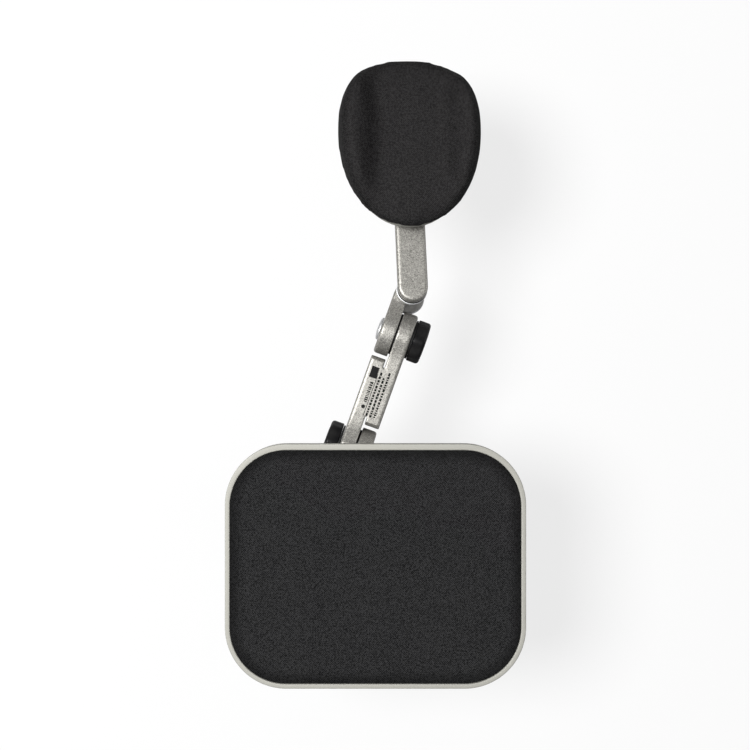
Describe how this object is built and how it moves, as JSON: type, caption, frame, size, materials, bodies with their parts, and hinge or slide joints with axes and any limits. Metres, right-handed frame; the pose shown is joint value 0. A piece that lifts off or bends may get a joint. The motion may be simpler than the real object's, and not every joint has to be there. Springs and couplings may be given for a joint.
{
  "type": "clamp-on forearm rest with mouse platform",
  "caption": "Desk-clamped articulated arm with a cupped forearm pad on its end and a rounded rectangular mouse platform over its clamp.",
  "frame": {"origin": "on the swivel post's axis, on the desk top that the clamp's upper jaw pad sits on", "axes": "+Z up out of the desk, +Y from the desk's edge towards the user, which the arm reaches along, +X to the right seen from above with +Y upwards"},
  "size_m": [0.24, 0.5099, 0.1792],
  "materials": {
    "silver_casting": "silver speckled powder coat on cast aluminium",
    "satin_aluminium": "warm satin anodised",
    "zinc_steel": "bright zinc plate",
    "brass": "turned",
    "black_plastic": "fine moulded grain",
    "black_nylon": "plain nylon",
    "black_rubber": "matte",
    "black_fabric": "close knitted cloth over foam",
    "dark_board": "plain moulded board"
  },
  "bodies": {
    "clamp": {"clamp_frame": "silver_casting", "desk_pad": "black_rubber", "thread_insert": "brass", "base_post": "zinc_steel", "post_screw": "zinc_steel", "post_cap_screw": "zinc_steel", "base_washer": "black_nylon", "carrier_washer": "black_nylon"},
    "clamp_foot": {"pressure_pad": "black_rubber", "pressure_plate": "zinc_steel"},
    "clamp_spindle": {"clamp_screw": "zinc_steel", "clamp_handle": "black_plastic"},
    "base_knuckle": {"lower_knuckle": "silver_casting", "lower_pivot_bolt": "zinc_steel"},
    "link": {"middle_link": "silver_casting", "lower_lap_washer": "black_nylon", "upper_lap_washer": "black_nylon", "lower_knob_ring": "black_nylon", "upper_knob_ring": "black_nylon"},
    "lower_lock": {"lower_knob": "black_plastic", "lower_knob_face": "black_plastic", "lower_knob_insert": "brass"},
    "upper_lock": {"upper_knob": "black_plastic", "upper_knob_face": "black_plastic", "upper_knob_insert": "brass"},
    "end_knuckle": {"upper_knuckle": "silver_casting", "upper_pivot_bolt": "zinc_steel", "swivel_bottom_ring": "zinc_steel", "swivel_lower_washer": "black_nylon", "swivel_ring": "zinc_steel"},
    "forearm_bar": {"top_bar": "silver_casting", "swivel_bolt": "zinc_steel", "swivel_upper_washer": "black_nylon"},
    "forearm_pad": {"pad_pivot_bolt": "zinc_steel", "pad_washer": "black_nylon", "pad_hub": "black_plastic", "pad_tray": "satin_aluminium", "pad_cushion": "black_fabric"},
    "carrier": {"platform_carrier": "silver_casting", "tray_washer": "black_nylon"},
    "platform": {"tray_pivot_screw": "zinc_steel", "tray_mount_plate": "zinc_steel", "tray_screw_1": "zinc_steel", "tray_screw_2": "zinc_steel", "tray_screw_3": "zinc_steel", "tray_screw_4": "zinc_steel", "platform_tray": "satin_aluminium", "platform_core": "dark_board", "mouse_mat": "black_fabric"}
  },
  "joints": [
    {"name": "base_swivel", "type": "hinge", "parent": "clamp", "child": "base_knuckle", "pos_m": [0, 0, 0.032], "axis": [0, 0, 1], "range_deg": [-100, 80]},
    {"name": "lower_tilt", "type": "hinge", "parent": "base_knuckle", "child": "link", "pos_m": [0.01214, 0.03389, 0.032], "axis": [0.9415, -0.3371, 0], "range_deg": [-30, 40]},
    {"name": "upper_tilt", "type": "hinge", "parent": "link", "child": "end_knuckle", "pos_m": [0.04669, 0.13039, 0.032], "axis": [0.9415, -0.3371, 0], "range_deg": [-55, 60]},
    {"name": "bar_swivel", "type": "hinge", "parent": "end_knuckle", "child": "forearm_bar", "pos_m": [0.06048, 0.16891, 0.05667], "axis": [0.0585, 0.1635, 0.9848], "range_deg": [-110, 70]},
    {"name": "pad_swivel", "type": "hinge", "parent": "forearm_bar", "child": "forearm_pad", "pos_m": [0.05605, 0.27886, 0.03868], "axis": [0.0585, 0.1635, 0.9848], "continuous": true},
    {"name": "carrier_swing", "type": "hinge", "parent": "clamp", "child": "carrier", "pos_m": [0, 0, 0.055], "axis": [0, 0, 1], "range_deg": [-60, 60]},
    {"name": "platform_turn", "type": "hinge", "parent": "carrier", "child": "platform", "pos_m": [0.0297, -0.0561, 0.062], "axis": [0, 0, 1], "range_deg": [-90, 30]},
    {"name": "lower_knob_turn", "type": "hinge", "parent": "link", "child": "lower_lock", "pos_m": [0.01214, 0.03389, 0.032], "axis": [-0.9415, 0.3371, 0], "range_deg": [-15, 360]},
    {"name": "upper_knob_turn", "type": "hinge", "parent": "link", "child": "upper_lock", "pos_m": [0.04669, 0.13039, 0.032], "axis": [0.9415, -0.3371, 0], "range_deg": [-15, 360]},
    {"name": "clamp_travel", "type": "slide", "parent": "clamp", "child": "clamp_foot", "axis": [0, 0, 1], "range_m": [-0.016, 0.009]},
    {"name": "clamp_turn", "type": "hinge", "parent": "clamp_foot", "child": "clamp_spindle", "pos_m": [0, -0.008, -0.05], "axis": [0, 0, 1], "range_deg": [-2890, 1630]}
  ],
  "couplings": [
    {"joint": "clamp_turn", "follows": "clamp_travel", "rad_per_m": 3141.6}
  ]
}
